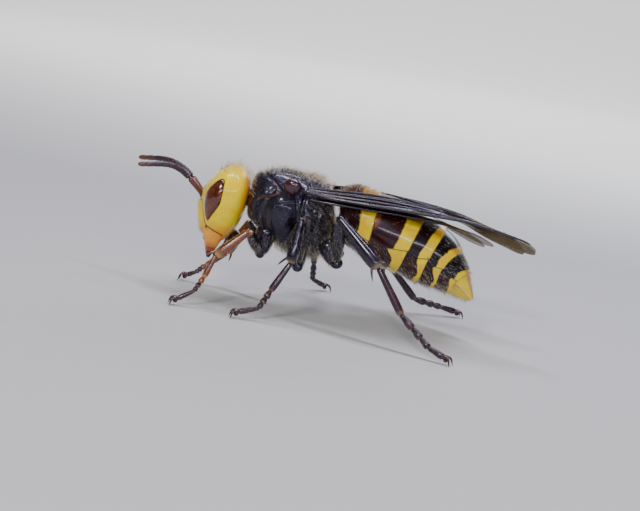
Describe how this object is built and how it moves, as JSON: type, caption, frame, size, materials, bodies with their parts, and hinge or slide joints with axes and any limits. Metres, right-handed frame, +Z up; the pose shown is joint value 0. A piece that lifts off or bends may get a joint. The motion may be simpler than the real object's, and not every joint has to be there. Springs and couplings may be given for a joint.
{
  "type": "asian giant hornet",
  "caption": "Life-size still model of a giant hornet queen standing with folded wings, broad yellow head, dark thorax and a banded gaster.",
  "frame": {"origin": "on the floor under the middle of the whole model's box", "axes": "+Z up; the hornet faces -X, its tail and wing tips point to +X and its left side is at -Y"},
  "size_m": [0.0596, 0.0358, 0.0206],
  "materials": {
    "yellow_cuticle": "glossy yellow cuticle",
    "orange_cuticle": "glossy orange-brown cuticle",
    "brown_cuticle": "satin dark brown cuticle",
    "black_cuticle": "glossy black-brown cuticle with fine hair",
    "banded_cuticle": "glossy cuticle in yellow, orange and dark brown bands",
    "eye_cornea": "dark red-brown compound eye",
    "wing_membrane": "smoky brown translucent membrane with dark veins"
  },
  "bodies": {
    "root": {"head": "yellow_cuticle", "eye_left": "eye_cornea", "eye_right": "eye_cornea", "mandible_left": "orange_cuticle", "mandible_right": "orange_cuticle", "mouthparts": "brown_cuticle", "antenna_scape_left": "orange_cuticle", "antenna_scape_right": "orange_cuticle", "antenna_flagellum_left": "brown_cuticle", "antenna_flagellum_right": "brown_cuticle", "neck": "brown_cuticle", "pronotum": "black_cuticle", "mesothorax": "black_cuticle", "propodeum": "black_cuticle", "tegula_left": "orange_cuticle", "tegula_right": "orange_cuticle", "petiole": "brown_cuticle", "gaster_segment_1": "banded_cuticle", "gaster_segment_2": "banded_cuticle", "gaster_segment_3": "banded_cuticle", "gaster_segment_4": "banded_cuticle", "gaster_segment_5": "banded_cuticle", "gaster_segment_6": "banded_cuticle", "coxa_front_left": "black_cuticle", "femur_front_left": "black_cuticle", "tibia_front_left": "orange_cuticle", "tarsus_front_left": "orange_cuticle", "coxa_front_right": "black_cuticle", "femur_front_right": "black_cuticle", "tibia_front_right": "orange_cuticle", "tarsus_front_right": "orange_cuticle", "coxa_middle_left": "black_cuticle", "femur_middle_left": "black_cuticle", "tibia_middle_left": "black_cuticle", "tarsus_middle_left": "brown_cuticle", "coxa_middle_right": "black_cuticle", "femur_middle_right": "black_cuticle", "tibia_middle_right": "black_cuticle", "tarsus_middle_right": "brown_cuticle", "coxa_hind_left": "black_cuticle", "femur_hind_left": "black_cuticle", "tibia_hind_left": "black_cuticle", "tarsus_hind_left": "brown_cuticle", "coxa_hind_right": "black_cuticle", "femur_hind_right": "black_cuticle", "tibia_hind_right": "black_cuticle", "tarsus_hind_right": "brown_cuticle", "forewing_left": "wing_membrane", "forewing_right": "wing_membrane", "hindwing_left": "wing_membrane", "hindwing_right": "wing_membrane"}
  },
  "joints": []
}
